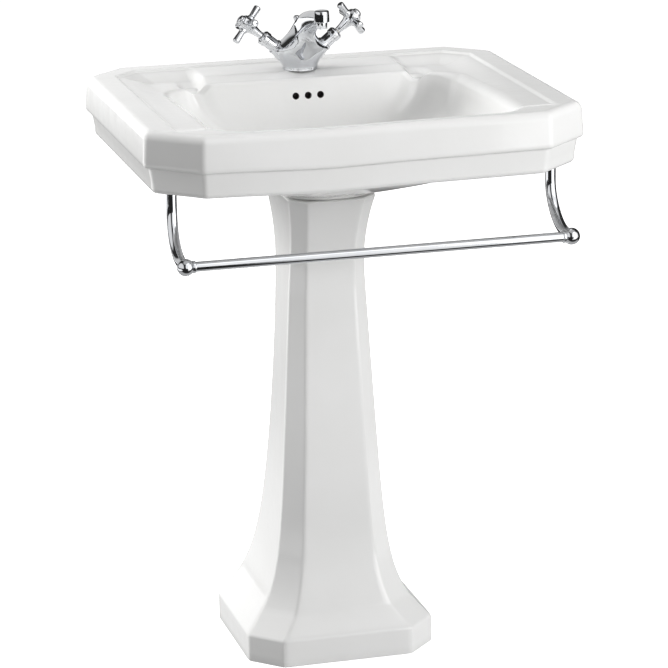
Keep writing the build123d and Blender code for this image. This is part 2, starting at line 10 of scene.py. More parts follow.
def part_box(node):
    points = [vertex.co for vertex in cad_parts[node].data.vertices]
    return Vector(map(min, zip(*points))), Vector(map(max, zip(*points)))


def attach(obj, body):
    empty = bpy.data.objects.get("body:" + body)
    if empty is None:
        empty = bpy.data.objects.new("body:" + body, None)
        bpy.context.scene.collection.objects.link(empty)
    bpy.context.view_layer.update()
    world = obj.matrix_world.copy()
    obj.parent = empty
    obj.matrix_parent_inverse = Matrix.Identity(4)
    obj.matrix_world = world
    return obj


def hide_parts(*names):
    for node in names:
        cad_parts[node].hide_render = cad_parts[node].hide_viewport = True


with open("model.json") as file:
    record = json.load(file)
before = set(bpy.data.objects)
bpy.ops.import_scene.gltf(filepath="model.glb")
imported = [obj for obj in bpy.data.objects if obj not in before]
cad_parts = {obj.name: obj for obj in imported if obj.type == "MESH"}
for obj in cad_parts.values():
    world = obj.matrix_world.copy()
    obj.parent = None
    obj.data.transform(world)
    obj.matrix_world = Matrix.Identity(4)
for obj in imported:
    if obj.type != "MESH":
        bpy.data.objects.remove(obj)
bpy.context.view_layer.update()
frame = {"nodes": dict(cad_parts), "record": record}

# A pedestal basin in glazed china with a chrome mixer tap and towel rail, built over the CAD frame.
# Sizes and outlines are in the frame's own axes and in millimetres. MM turns them into metres.
MM = 0.001
nodes = frame["nodes"]


def node_box(name):
    """The lowest and highest corners of a CAD node, in millimetres."""
    low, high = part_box(name)
    return np.array(low) / MM, np.array(high) / MM


def node_middle(name):
    """The middle of a CAD node's box, in millimetres."""
    low, high = node_box(name)
    return (low + high) / 2


# ---------------- sizes
BASIN_LOW, BASIN_HIGH = node_box("basin")
PEDESTAL_LOW, PEDESTAL_HIGH = node_box("pedestal")
HALF_WIDTH = BASIN_HIGH[0]
FRONT_Y, WALL_Y = BASIN_LOW[1], BASIN_HIGH[1]
RIM_Z = BASIN_HIGH[2]
STEP_Z = RIM_Z - 50
SKIRT_Z = STEP_Z - 36
FRONT_CORNER = (65.5, 60.0)  # what the octagon's corners cut off, along X and Y
BACK_CORNER = (58.0, 55.0)
STEP_INSET = 5.4  # the skirt's top edge, in from the rim's
SKIRT_INSET = 11.4  # and its bottom edge
RIM_ROUND, STEP_ROUND, SKIRT_ROUND = 12, 4.5, 7
LEDGE_THICKNESS = 16.0

BOWL_HALF = 209.0
BOWL_FRONT_Y = -218.5
BOWL_BACK_Y = 125.0
BOWL_CORNER_R = 44.0
LIP_DEPTH = 12  # of the bowl's rounded edge at its sides
WASTE_Y = node_middle("waste_flange")[1]
WASTE_R = 23.0
FLOOR_Z = node_box("waste_flange_seal")[0][2]
UNDERSIDE_Z = node_box("seat_pads")[1][2]
OVERFLOW_Z = 797.0
OVERFLOW_PITCH = 18.2
OVERFLOW_R = 5.0
BOLT_X, BOLT_Z, BOLT_HOLE_R = 140, 795, 7
TAP_HOLE_R = 17.5

TAP_Y = 166.0
TAP_FOOT_Z = node_box("tap_body")[0][2]
TAP_TILT = math.radians(40)  # each valve's axis, up from level
TAP_AXIS_Z = 831.5  # where the two axes meet
HANDLE_REACH = 101  # from there to the cross arms
ARM_TURN = 16.0  # the cross heads when the valves are shut
NOZZLE_Y = 40.5
NOZZLE_TOP_Z = 933.5
NOZZLE_LOW_Z = 917.0
AERATOR_LOW_Z = 907.5
LIFT_ROD_Y = 180

RAIL_X = 267.8
RAIL_Y, RAIL_Z = node_middle("rail_bar")[1:]
RAIL_BALL_R, RAIL_BAR_R, RAIL_TUBE_R = 11.6, 6.8, 7.4
BRACKET_BEND_R = 62.0
BRACKET_POST_Y = -166.5
BRACKET_LEAN = 1.5  # how far the posts stand in from the ball ends


# ---------------- mesh helpers
def smooth(value, low, high):
    """0 below low, 1 above high, and an even S between them."""
    t = np.clip((np.asarray(value, float) - low) / (high - low), 0, 1)
    return t * t * (3 - 2 * t)


def turn_steps(count, whole=math.pi / 2):
    """Evenly spaced angles from 0 to the whole, which is a right angle if none is given."""
    return np.linspace(0, 1, count) * whole


def hermite(t, xs, ys):
    """A smooth curve through points, with slopes from their neighbours."""
    slopes = np.gradient(ys, xs)
    i = int(np.clip(np.searchsorted(xs, t) - 1, 0, len(xs) - 2))
    h = xs[i + 1] - xs[i]
    u = (t - xs[i]) / h
    return ((1 + 2 * u) * (1 - u) ** 2 * ys[i] + u * (1 - u) ** 2 * h * slopes[i]
            + u * u * (3 - 2 * u) * ys[i + 1] + u * u * (u - 1) * h * slopes[i + 1])


def linked(name, data):
    """A new object in the scene."""
    item = bpy.data.objects.new(name, data)
    bpy.context.scene.collection.objects.link(item)
    return item


def new_object(name, points, faces, sharp=None):
    """A smooth-shaded mesh object from points in millimetres."""
    mesh = bpy.data.meshes.new(name)
    mesh.from_pydata((np.asarray(points, float) * MM).tolist(), [], faces)
    mesh.validate()
    tidy = bmesh.new()
    tidy.from_mesh(mesh)
    bmesh.ops.remove_doubles(tidy, verts=tidy.verts, dist=1e-6)
    bmesh.ops.recalc_face_normals(tidy, faces=tidy.faces)
    tidy.to_mesh(mesh)
    tidy.free()
    mesh.polygons.foreach_set("use_smooth", [True] * len(mesh.polygons))
    if sharp:
        mesh.set_sharp_from_angle(angle=math.radians(sharp))
    return linked(name, mesh)


def loft_faces(ring_count, ring_size, joined_ends=False):
    """The quads between a stack of rings, whose points are numbered one ring after another."""
    faces = []
    for k in range(ring_count if joined_ends else ring_count - 1):
        a, b = k * ring_size, ((k + 1) % ring_count) * ring_size
        for i in range(ring_size):
            j = (i + 1) % ring_size
            faces.append((a + i, a + j, b + j, b + i))
    return faces


def lofted(name, rings, caps=True, sharp=None):
    """A skin over closed rings of points, with a flat cap on each end unless caps is off."""
    size = len(rings[0])
    faces = loft_faces(len(rings), size)
    if caps:
        last = (len(rings) - 1) * size
        faces.append(tuple(range(size - 1, -1, -1)))
        faces.append(tuple(range(last, last + size)))
    return new_object(name, np.concatenate(rings), faces, sharp)


def turned(name, profile, place=Matrix.Identity(4), around=64, sharp=30):
    """A body of revolution about its own Z, from a list of (radius, height), put in its place."""
    angles = np.linspace(0, 2 * math.pi, around, endpoint=False)
    rings = []
    for radius, height in profile:
        rings.append(np.stack([radius * np.cos(angles), radius * np.sin(angles),
                               np.full(around, height)], 1))
    piece = lofted(name, rings, caps=False, sharp=sharp)
    move = Matrix(place)
    move.translation = Vector(move.translation) * MM
    piece.data.transform(move)
    return piece


def rounded(points, radius, steps=5):
    """A profile with rounded corners. Each point is (radius, height), or also has its own round."""
    out = []
    for i, point in enumerate(points):
        here = np.array(point[:2], float)
        r = point[2] if len(point) > 2 else radius
        if i in (0, len(points) - 1) or r <= 0:
            out.append(tuple(here))
            continue
        before = np.array(points[i - 1][:2], float) - here
        after = np.array(points[i + 1][:2], float) - here
        r = min(r, 0.45 * np.linalg.norm(before), 0.45 * np.linalg.norm(after))
        a, b = here + before / np.linalg.norm(before) * r, here + after / np.linalg.norm(after) * r
        for t in np.linspace(0, 1, steps):
            out.append(tuple((1 - t) ** 2 * a + 2 * t * (1 - t) * here + t * t * b))
    return out


def joined(name, pieces, sharp=30):
    """One object from several, in their own order."""
    bpy.ops.object.select_all(action="DESELECT")
    for piece in pieces:
        piece.select_set(True)
    bpy.context.view_layer.objects.active = pieces[0]
    bpy.ops.object.join()
    pieces[0].name = name
    pieces[0].data.name = name
    pieces[0].data.set_sharp_from_angle(angle=math.radians(sharp))
    return pieces[0]


# ---------------- materials
def shader(name):
    """A new material, its node tree and its surface shader."""
    material = bpy.data.materials.new(name)
    material.use_nodes = True
    tree = material.node_tree
    return material, tree, tree.nodes["Principled BSDF"]


def noise(tree, scale, detail, stretch=(1, 1, 1)):
    """Noise in the object's own coordinates, which are metres. The scale is in waves a metre."""
    place = tree.nodes.new("ShaderNodeTexCoord")
    mapping = tree.nodes.new("ShaderNodeMapping")
    mapping.inputs["Scale"].default_value = stretch
    texture = tree.nodes.new("ShaderNodeTexNoise")
    texture.inputs["Scale"].default_value = scale
    texture.inputs["Detail"].default_value = detail
    tree.links.new(place.outputs["Object"], mapping.inputs["Vector"])
    tree.links.new(mapping.outputs["Vector"], texture.inputs["Vector"])
    return texture.outputs["Fac"]


def ramped(tree, source, *stops):
    """A colour ramp over a value, between two stops. Each is (place, grey or colour)."""
    ramp = tree.nodes.new("ShaderNodeValToRGB")
    for element, (place, tone) in zip(ramp.color_ramp.elements, stops):
        element.position = place
        colour = (tone, tone, tone) if isinstance(tone, float) else tone
        element.color = (*colour, 1)
    tree.links.new(source, ramp.inputs["Fac"])
    return ramp.outputs["Color"]


def mottled(name, clouds, low, high, marks, rough_stops, waves, height, metallic=0.0):
    """A material that varies a little in colour, in roughness and in the finest relief.

    Clouds, marks and waves are the noises for the three: scale, detail and perhaps stretch. The
    relief's height is in metres.
    """
    material, tree, surface = shader(name)
    surface.inputs["Metallic"].default_value = metallic
    tint = ramped(tree, noise(tree, *clouds), (0.3, low), (0.7, high))
    tree.links.new(tint, surface.inputs["Base Color"])
    tree.links.new(ramped(tree, noise(tree, *marks), *rough_stops), surface.inputs["Roughness"])
    bump = tree.nodes.new("ShaderNodeBump")
    bump.inputs["Strength"].default_value = 1.0
    bump.inputs["Distance"].default_value = height
    tree.links.new(noise(tree, *waves), bump.inputs["Height"])
    tree.links.new(bump.outputs["Normal"], surface.inputs["Normal"])
    return material


def china_material():
    """Glazed vitreous china: white body, clear wavy glaze."""
    material = mottled("glazed_china", (9, 2), (0.845, 0.845, 0.835), (0.872, 0.872, 0.866),
                       (160, 4), ((0.35, 0.085), (0.75, 0.14)), (42, 2), 0.00022)
    surface = material.node_tree.nodes["Principled BSDF"]
    surface.inputs["IOR"].default_value = 1.5
    surface.inputs["Coat Weight"].default_value = 0.2
    surface.inputs["Coat Roughness"].default_value = 0.03
    return material


def chrome_material():
    """Chrome plate: a mirror with faint buffing marks."""
    roughness = 0.045
    rough_stops = ((0.4, roughness * 0.7), (0.8, roughness * 2.2))
    return mottled("polished_chrome", (30, 2), (0.71, 0.725, 0.75), (0.78, 0.79, 0.81),
                   (420, 4), rough_stops, (70, 2), 0.00004, metallic=1.0)


def metal_material(name, low, high, roughness, scale=260, stretch=(1, 1, 1)):
    """An unplated metal with tarnish and fine drawing or turning marks."""
    marks = (scale, 5, stretch)
    rough_stops = ((0.3, roughness * 0.7), (0.8, roughness * 1.4))
    return mottled(name, (38, 5), low, high, marks, rough_stops, marks, 0.00006, metallic=1.0)


def soft_material(name, low, high, roughness, grain, height):
    """Rubber or moulded plastic, with a fine grain. It also makes the painted shade inside the
    overflow holes.
    """
    marks = (grain, 4)
    rough_stops = ((0.3, roughness * 0.8), (0.8, roughness * 1.25))
    return mottled(name, (55, 3), low, high, marks, rough_stops, marks, height)


# The record's slots, and one for the inside of the overflow holes: painted shade, near black with
# the brownish tone of unglazed china.
MATERIALS = {
    "china": china_material(),
    "chrome": chrome_material(),
    "brass": metal_material(
        "turned_brass", (0.62, 0.45, 0.18), (0.76, 0.58, 0.27), 0.26),
    "copper": metal_material(
        "drawn_copper", (0.62, 0.30, 0.19), (0.80, 0.45, 0.31), 0.24, 300, (1, 1, 0.05)),
    "steel": metal_material(
        "zinc_steel", (0.50, 0.50, 0.51), (0.66, 0.66, 0.66), 0.30),
    "black_rubber": soft_material(
        "black_rubber", (0.018, 0.018, 0.018), (0.035, 0.035, 0.034), 0.6, 700, 0.0001),
    # Painted shade: the overflow holes' walls are coloured near black, over the brownish tone of
    # unglazed china.
    "overflow": soft_material(
        "overflow_shade", (0.045, 0.036, 0.031), (0.085, 0.068, 0.058), 0.7, 300, 0.0002),
    "white_plastic": soft_material(
        "white_plastic", (0.78, 0.78, 0.76), (0.84, 0.84, 0.83), 0.3, 400, 0.00005),
}


# ---------------- outlines with eight spans
def octagon(half_x, low_y, high_y, front, back):
    """Eight corners, anticlockwise from the left end of the front edge.

    Span 0 is the front edge, 2 the right side, 4 the back and 6 the left side. The odd spans are
    the corners, and front and back say what each cuts off along X and Y.
    """
    return np.array([
        (-half_x + front[0], low_y), (half_x - front[0], low_y),
        (half_x, low_y + front[1]), (half_x, high_y - back[1]),
        (half_x - back[0], high_y), (-half_x + back[0], high_y),
        (-half_x, high_y - back[1]), (-half_x, low_y + front[1]),
    ])


def inset_corner(corner, inset):
    """What a corner cuts off an outline that lies further in, with the same width all round."""
    along_x, along_y = corner
    slope = math.hypot(along_x, along_y)
    return (along_x - inset * (1 + (along_x - slope) / along_y),
            along_y - inset * (1 + (along_y - slope) / along_x))


def basin_octagon(inset):
    """The basin's outline, a distance in from the rim's edge."""
    return octagon(HALF_WIDTH - inset, FRONT_Y + inset, WALL_Y - inset,
                   inset_corner(FRONT_CORNER, inset), inset_corner(BACK_CORNER, inset))


def span_fractions(length, count, corner_reach):
    """Places along one span, close together in its two rounded ends."""
    reach = corner_reach / length
    ends = reach * np.array([0, 0.25, 0.5, 0.75, 1.0])
    middle = np.linspace(reach, 1 - reach, count + 1)[1:-1]
    return np.concatenate([ends, middle, 1 - ends[:0:-1]])


# Every ring of the basin has the same points round it. The back has most, for the overflow holes.
SPAN_COUNTS = (70, 18, 56, 44, 250, 44, 56, 18)
SPAN_END = 7  # the length of a span's rounded end
RIM_CORNERS = basin_octagon(0)
SPANS = []
for _span in range(8):
    _length = np.linalg.norm(RIM_CORNERS[(_span + 1) % 8] - RIM_CORNERS[_span])
    SPANS.append(span_fractions(_length, SPAN_COUNTS[_span], SPAN_END))
SPAN_OF = np.concatenate([np.full(len(f), s) for s, f in enumerate(SPANS)])
FRACTION_OF = np.concatenate(SPANS)
AROUND = len(SPAN_OF)


def octagon_points(corners, radius, span_of=SPAN_OF, fraction_of=FRACTION_OF):
    """Points along an octagon whose corners are rounded to a radius."""
    out = np.zeros((len(span_of), 2))
    for n, (span, fraction) in enumerate(zip(span_of, fraction_of)):
        start, end = corners[span], corners[(span + 1) % 8]
        length = np.linalg.norm(end - start)
        here = start + (end - start) * fraction
        for corner, side in ((span, 1), ((span + 1) % 8, -1)):
            before = corners[corner] - corners[corner - 1]
            after = corners[(corner + 1) % 8] - corners[corner]
            turn = math.atan2(before[0] * after[1] - before[1] * after[0], before @ after)
            reach = radius * math.tan(turn / 2)
            distance = fraction * length if side == 1 else (1 - fraction) * length
            if distance >= reach or reach <= 0:
                continue
            normal = math.atan2(-before[0], before[1]) + turn / 2
            centre = corners[corner] - radius / math.cos(turn / 2) * np.array(
                [math.cos(normal), math.sin(normal)])
            angle = normal + side * distance / reach * turn / 2
            here = centre + radius * np.array([math.cos(angle), math.sin(angle)])
        out[n] = here
    return out


def bowl_points(half_x, low_y, high_y, radius):
    """Points along a rounded rectangle, matched to the octagon's. Each size may be an array."""
    half_x, low_y, high_y, radius = (
        np.broadcast_to(np.asarray(v, float), (AROUND,)) for v in (half_x, low_y, high_y, radius))
    f = FRACTION_OF
    x, y = np.zeros(AROUND), np.zeros(AROUND)
    corner_x, low_corner, high_corner = half_x - radius, low_y + radius, high_y - radius
    straight = {
        0: (-corner_x + 2 * corner_x * f, low_y),
        2: (half_x, low_corner + (high_corner - low_corner) * f),
        4: (corner_x - 2 * corner_x * f, high_y),
        6: (-half_x, high_corner - (high_corner - low_corner) * f),
    }
    arcs = {1: (corner_x, low_corner, -90), 3: (corner_x, high_corner, 0),
            5: (-corner_x, high_corner, 90), 7: (-corner_x, low_corner, 180)}
    for span, (xs, ys) in straight.items():
        pick = SPAN_OF == span
        x[pick], y[pick] = xs[pick], ys[pick]
    for span, (cx, cy, start) in arcs.items():
        pick = SPAN_OF == span
        angle = np.radians(start + 90 * f)
        x[pick] = (cx + radius * np.cos(angle))[pick]
        y[pick] = (cy + radius * np.sin(angle))[pick]
    return np.stack([x, y], 1)


def at_height(points, z):
    """Flat points given a height, or one height each."""
    return np.column_stack([points, np.broadcast_to(z, (len(points),))])


# ---------------- basin
def rim_height(x, y):
    """The moulded top's height over the rim's highest level, so it is 0 or less.

    The top has a flat border, a tray that falls to the back, a platform for the tap, and a soap
    recess with a drain notch each side of the platform.
    """
    across = np.abs(x)
    border = np.minimum(HALF_WIDTH - across, WALL_Y - y)
    diagonal = (BACK_CORNER[1] * (HALF_WIDTH - across) + BACK_CORNER[0] * (WALL_Y - y)
                - BACK_CORNER[0] * BACK_CORNER[1]) / math.hypot(*BACK_CORNER)
    border = np.minimum(border, diagonal)
    tray = 2.6 * smooth(border, 38, 45) * smooth(y, FRONT_Y + 40, FRONT_Y + 70)
    tray = tray + 8.2 * smooth(border, 44, 92) * smooth(y, -110, 118)
    platform = 1.0 + 7.4 * (1 - smooth(y, BOWL_BACK_Y - 4, 156))
    platform = platform * (1 - smooth(y, 216, 228))
    on_platform = (1 - smooth(across, 143, 161)) * smooth(y, 20, 60)
    notch = 9.0 * smooth(across, 145, 163) * (1 - smooth(across, 170, 188))
    notch = notch * smooth(y, 50, 92) * (1 - smooth(y, 130, 176))
    return -(tray * (1 - on_platform) + platform * on_platform + notch)


# Height, half width, front, back and corner radius of the bowl, from its rim to its floor.
BOWL_INSIDE = np.array([
    (RIM_Z - LIP_DEPTH, BOWL_HALF, BOWL_FRONT_Y, BOWL_BACK_Y, BOWL_CORNER_R),
    (790, 203, -213, 120, 48),
    (762, 188, -193, 115, 56),
    (738, 156, -157, 111, 62),
    (718, 112, -101, 108, 62),
    (702, 76, -45, 106, 58),
    (FLOOR_Z + 0.6, 52, -4.5, 103, 44),
])
BOWL_OUTSIDE = np.array([
    (RIM_Z - LEDGE_THICKNESS, 217, -228, 133, 52),
    (780, 211, -218.5, 130, 60),
    (750, 194, -198.5, 125, 70),
    (724, 158, -158.5, 121, 76),
    (704, 116, -104.5, 118, 74),
    (688, 86, -52.5, 116, 70),
    (UNDERSIDE_Z, 68, -26.5, 113, 58),
])


def bowl_sections(table, count):
    """Sections along a smooth curve through a table's rows, evenly spaced in the table."""
    places = np.arange(len(table))
    return [[hermite(t, places, table[:, column]) for column in range(5)]
            for t in np.linspace(0, len(table) - 1, count)]


def lip_depth(outline):
    """How deep the bowl's edge is rounded, at each point of its outline."""
    y = outline[:, 1]
    at_back = smooth(y, BOWL_BACK_Y - 30, BOWL_BACK_Y - 4)
    at_front = 1 - smooth(y, BOWL_FRONT_Y + 4, BOWL_FRONT_Y + 34)
    at_side = 1 - at_back - at_front
    return 5 * at_back + 8 * at_front + LIP_DEPTH * at_side


def bowl_rings():
    """From the waste hole over the floor and up the wall to the edge of the rim."""
    top = bowl_points(*BOWL_INSIDE[0, 1:])
    deep = lip_depth(top)
    outer_edge = bowl_points(BOWL_HALF + 17, BOWL_FRONT_Y - 9, BOWL_BACK_Y + 5, BOWL_CORNER_R + 9)
    edge_z = RIM_Z + rim_height(*outer_edge.T)
    walls = []
    for z, *size in bowl_sections(BOWL_INSIDE, 44):
        share = smooth(z, 755, RIM_Z - LIP_DEPTH)
        lifted = z + (edge_z - deep - RIM_Z + LIP_DEPTH) * share
        walls.append(at_height(bowl_points(*size), lifted))
    walls.reverse()
    floor_edge = walls[0][:, :2]
    centre = np.array([0, WASTE_Y])
    away = floor_edge - centre
    circle = centre + away / np.linalg.norm(away, axis=1, keepdims=True) * WASTE_R
    floor = []
    for t in np.linspace(0, 1, 12)[:-1]:
        floor.append(at_height(circle + (floor_edge - circle) * t, FLOOR_Z + 0.6 * t * t))
    lip = []
    for angle in turn_steps(13)[1:]:
        outline = top + (outer_edge - top) * (1 - math.cos(angle))
        lip.append(at_height(outline, edge_z - deep * (1 - math.sin(angle))))
    return floor + walls + lip


def rim_rings(inner):
    """Across the moulded top, from the bowl's edge to where the outer edge turns down."""
    outer = octagon_points(basin_octagon(RIM_ROUND), 6)
    rings = []
    for t in np.linspace(0, 1, 76)[1:]:
        flat = inner[:, :2] + (outer - inner[:, :2]) * t
        rings.append(at_height(flat, RIM_Z + rim_height(*flat.T)))
    return rings


def side_profile():
    """(inset, height) down the outside: rim, step and skirt, then up the inside to the ledge."""
    profile = []
    for angle in turn_steps(11)[1:]:
        profile.append((RIM_ROUND * (1 - math.sin(angle)),
                        RIM_Z - RIM_ROUND * (1 - math.cos(angle))))
    profile += [(-0.6, 808), (-1.3, 797), (-1.9, STEP_Z + 7)]
    for angle in turn_steps(7)[1:]:
        profile.append((-2 + STEP_ROUND * (1 - math.cos(angle)),
                        STEP_Z + STEP_ROUND - STEP_ROUND * math.sin(angle)))
    profile += [(STEP_INSET - 1.0, STEP_Z - 0.1), (STEP_INSET, STEP_Z - 0.9),
                (STEP_INSET + 0.3, STEP_Z - 2.4)]
    for t in (0.2, 0.4, 0.6, 0.8):
        profile.append((STEP_INSET + 4.5 * t, STEP_Z - 28 * t))
    for angle in turn_steps(8):
        profile.append((SKIRT_INSET - 2 + SKIRT_ROUND * (1 - math.cos(angle)),
                        SKIRT_Z + SKIRT_ROUND - SKIRT_ROUND * math.sin(angle)))
    profile += [(SKIRT_INSET + 9, SKIRT_Z), (24, SKIRT_Z + 1), (25, SKIRT_Z + 4)]
    ceiling = RIM_Z - LEDGE_THICKNESS
    profile += [(25, SKIRT_Z + 24), (25, ceiling - 10), (27, ceiling - 3), (33, ceiling)]
    return profile


def underside_rings():
    """Across the ledge's underside, down the bowl's outside and in to the waste hole."""
    rings = []
    ceiling = RIM_Z - LEDGE_THICKNESS
    outer = octagon_points(basin_octagon(33), 6)
    start = bowl_points(*(BOWL_OUTSIDE[0, 1:] + (6, -6, 6, 6)))
    for t in np.linspace(0, 1, 8)[1:]:
        rings.append(at_height(outer + (start - outer) * t, ceiling))
    for z, *size in bowl_sections(BOWL_OUTSIDE, 34):
        z = min(z, ceiling - 5)
        rings.append(at_height(bowl_points(*size), z))
    centre = np.array([0, WASTE_Y])
    away = rings[-1][:, :2] - centre
    unit = away / np.linalg.norm(away, axis=1, keepdims=True)
    outlet = ((38, UNDERSIDE_Z), (36, UNDERSIDE_Z - 1), (35, BASIN_LOW[2]), (WASTE_R, BASIN_LOW[2]))
    for radius, z in outlet:
        rings.append(at_height(centre + unit * radius, z))
    return rings


def make_duct():
    """The overflow rib behind the bowl, which leans with the bowl's back wall."""
    back, half, radius = BOWL_BACK_Y + 15, 34, 6
    rings = []
    fronts = ((UNDERSIDE_Z, 107), (704, 111), (750, 117), (790, 124), (RIM_Z - LIP_DEPTH, 128))
    for z, front in fronts:
        outline = []
        corners = ((half, back, 0), (-half, back, 90), (-half, front, 180), (half, front, 270))
        for x, y, start in corners:
            centre_x = x - math.copysign(radius, x)
            centre_y = y - radius if y == back else y + radius
            for angle in np.radians(np.linspace(start, start + 90, 6)):
                outline.append((centre_x + radius * math.cos(angle),
                                centre_y + radius * math.sin(angle), z))
        rings.append(np.array(outline))
    return lofted("duct", rings, sharp=40)


def soft_block(name, low, high, edge=3.0):
    """A box from low to high with rounded edges, in millimetres."""
    mesh = bpy.data.meshes.new(name)
    shape = bmesh.new()
    bmesh.ops.create_cube(shape, size=1)
    for vertex in shape.verts:
        vertex.co = [((share + 0.5) * (end - start) + start) * MM
                     for share, start, end in zip(vertex.co, low, high)]
    bmesh.ops.bevel(shape, geom=shape.edges[:], offset=edge * MM, segments=4, profile=0.5,
                    affect="EDGES")
    shape.to_mesh(mesh)
    shape.free()
    mesh.polygons.foreach_set("use_smooth", [True] * len(mesh.polygons))
    return linked(name, mesh)


def round_cutter(radius, low, high, direction):
    """A cylinder from low to high, in millimetres, along Y or Z."""
    middle = (Vector(low) + Vector(high)) / 2 * MM
    length = (Vector(high) - Vector(low)).length * MM
    bpy.ops.mesh.primitive_cylinder_add(
        vertices=48, radius=radius * MM, depth=length, location=middle)
    cutter = bpy.context.object
    cutter.rotation_euler = {"Y": (math.pi / 2, 0, 0), "Z": (0, 0, 0)}[direction]
    return cutter


def drill(piece, cutters, lining=None):
    """Cuts every hole in one pass, and can line them with a material of their own, such as the
    overflow holes' painted shade.
    """
    tool = joined("drill", cutters)
    if lining:
        tool.data.materials.append(MATERIALS[lining])
    cut = piece.modifiers.new("holes", "BOOLEAN")
    cut.operation = "DIFFERENCE"
    cut.solver = "EXACT"
    cut.material_mode = "TRANSFER"
    cut.object = tool
    bpy.context.view_layer.update()
    graph = bpy.context.evaluated_depsgraph_get()
    mesh = bpy.data.meshes.new_from_object(piece.evaluated_get(graph))
    piece.modifiers.clear()
    piece.data = mesh
    mesh.set_sharp_from_angle(angle=math.radians(40))
    bpy.data.objects.remove(tool)


def basin_holes():
    """The wall-bolt holes and the tap hole."""
    cutters = [round_cutter(BOLT_HOLE_R, (x, WALL_Y - 40, BOLT_Z), (x, WALL_Y + 5, BOLT_Z), "Y")
               for x in (-BOLT_X, BOLT_X)]
    return cutters + [round_cutter(TAP_HOLE_R, (0, TAP_Y, RIM_Z - 30), (0, TAP_Y, RIM_Z + 6), "Z")]


def overflow_holes():
    """Three holes side by side, through the bowl's back wall and into the duct."""
    front_y, back_y = 90, BOWL_BACK_Y + 9
    return [round_cutter(OVERFLOW_R, (x, front_y, OVERFLOW_Z), (x, back_y, OVERFLOW_Z), "Y")
            for x in (-OVERFLOW_PITCH, 0, OVERFLOW_PITCH)]


def front_sag(points):
    """The front of the casting sags a little between its corners, most left of the middle."""
    x, y, z = points.T
    even = 1.8 * np.clip(1 - (x / 245) ** 2, 0, 1)
    local = 2.9 * np.exp(-0.5 * ((x + 71) / 62) ** 2)
    near_front = 1 - smooth(y, BOWL_FRONT_Y + 2, BOWL_FRONT_Y + 60)
    low_down = 0.55 + 0.45 * (1 - smooth(z, STEP_Z + 5, RIM_Z - 8))
    return points - np.outer((even + local) * near_front * low_down, (0, 0, 1))


def make_basin():
    """One casting: the skin, the overflow duct behind the bowl and a web over each rail bracket."""
    bowl = bowl_rings()
    rings = bowl + rim_rings(bowl[-1])
    for inset, z in side_profile():
        corner_radius = 12 if inset < 15 else 6
        rings.append(at_height(octagon_points(basin_octagon(inset), corner_radius), z))
    rings += underside_rings()
    faces = loft_faces(len(rings), AROUND, joined_ends=True)
    basin = new_object("basin_china", front_sag(np.concatenate(rings)), faces)
    duct = make_duct()
    for piece in (basin, duct):
        piece.data.materials.append(MATERIALS["china"])
    drill(basin, basin_holes())
    # The overflow holes are lined with the painted shade.
    drill(basin, overflow_holes(), "overflow")
    drill(duct, overflow_holes(), "overflow")
    extras = [basin, duct]
    for side in (-1, 1):
        xs = sorted((side * (RAIL_X - 22), side * (HALF_WIDTH - 20)))
        low, high = (xs[0], -188, SKIRT_Z + 0.4), (xs[1], -145, SKIRT_Z + 12)
        extras.append(soft_block("web", low, high))
    return joined("basin_china", extras, sharp=50)


# ---------------- pedestal
BASE_HALF = PEDESTAL_HIGH[0]
BASE_FRONT_Y, BASE_BACK_Y = PEDESTAL_LOW[1], PEDESTAL_HIGH[1]
BASE_HEIGHT = 43.0
BASE_CORNER = 43
BASE_ROUND_Z = BASE_HEIGHT - 6  # where the plinth's top edge begins to turn in
BASE_ROUND = 6.5
FOOT_Z = 70.0  # where the slope over the plinth meets the column
FOOT_FADE = 48  # how fast the foot's flare dies away above it
SIDE_FLARE_Z, FRONT_FLARE_Z = 560, 530  # where the flares under the basin begin
FLARE_TOP_Z = 676
BACK_BEND_Z = 450  # where the side faces end furthest forward
TOP_Z = PEDESTAL_HIGH[2]
TOP_ROUND = 3
EDGE_R = 9  # of the plinth's upright edges
SLOT_HALF = 31.0
PEDESTAL_WALL = 11.0


def column_size(z):
    """Half width, front, end of the side face and front and back corner cuts at a height.

    The column tapers straight from the foot up, with a flare at the foot and one under the basin.
    """
    foot = math.exp(-(z - FOOT_Z) / FOOT_FADE)
    side_flare = max(0, (z - SIDE_FLARE_Z) / (FLARE_TOP_Z - SIDE_FLARE_Z)) ** 2
    front_flare = max(0, (z - FRONT_FLARE_Z) / (FLARE_TOP_Z - FRONT_FLARE_Z)) ** 2
    half_x = 87 - 0.0563 * z + 27.9 * foot + 15.1 * side_flare
    front = -17 + 0.0545 * z - 20 * foot - 45 * front_flare
    if z < BACK_BEND_Z:
        side_end = 105 + 0.00046 * (BACK_BEND_Z - z) ** 2
    else:
        side_end = 105 + 32 * ((z - BACK_BEND_Z) / (TOP_Z - BACK_BEND_Z)) ** 2
    front_cut = 0.36 * half_x - 0.5
    return half_x, front, side_end, front_cut, 0.9 * front_cut


def plinth_size(inset):
    """The same five sizes for the plinth, a distance in from its sides."""
    cut = BASE_CORNER - inset * (2 - math.sqrt(2))
    side_end = BASE_BACK_Y - BASE_CORNER + inset * (1 - math.sqrt(2))
    return BASE_HALF - inset, BASE_FRONT_Y + inset, side_end, cut, cut


def mixed(one, two, share):
    """Sizes part of the way from one set to another."""
    return tuple(a + (b - a) * share for a, b in zip(one, two))


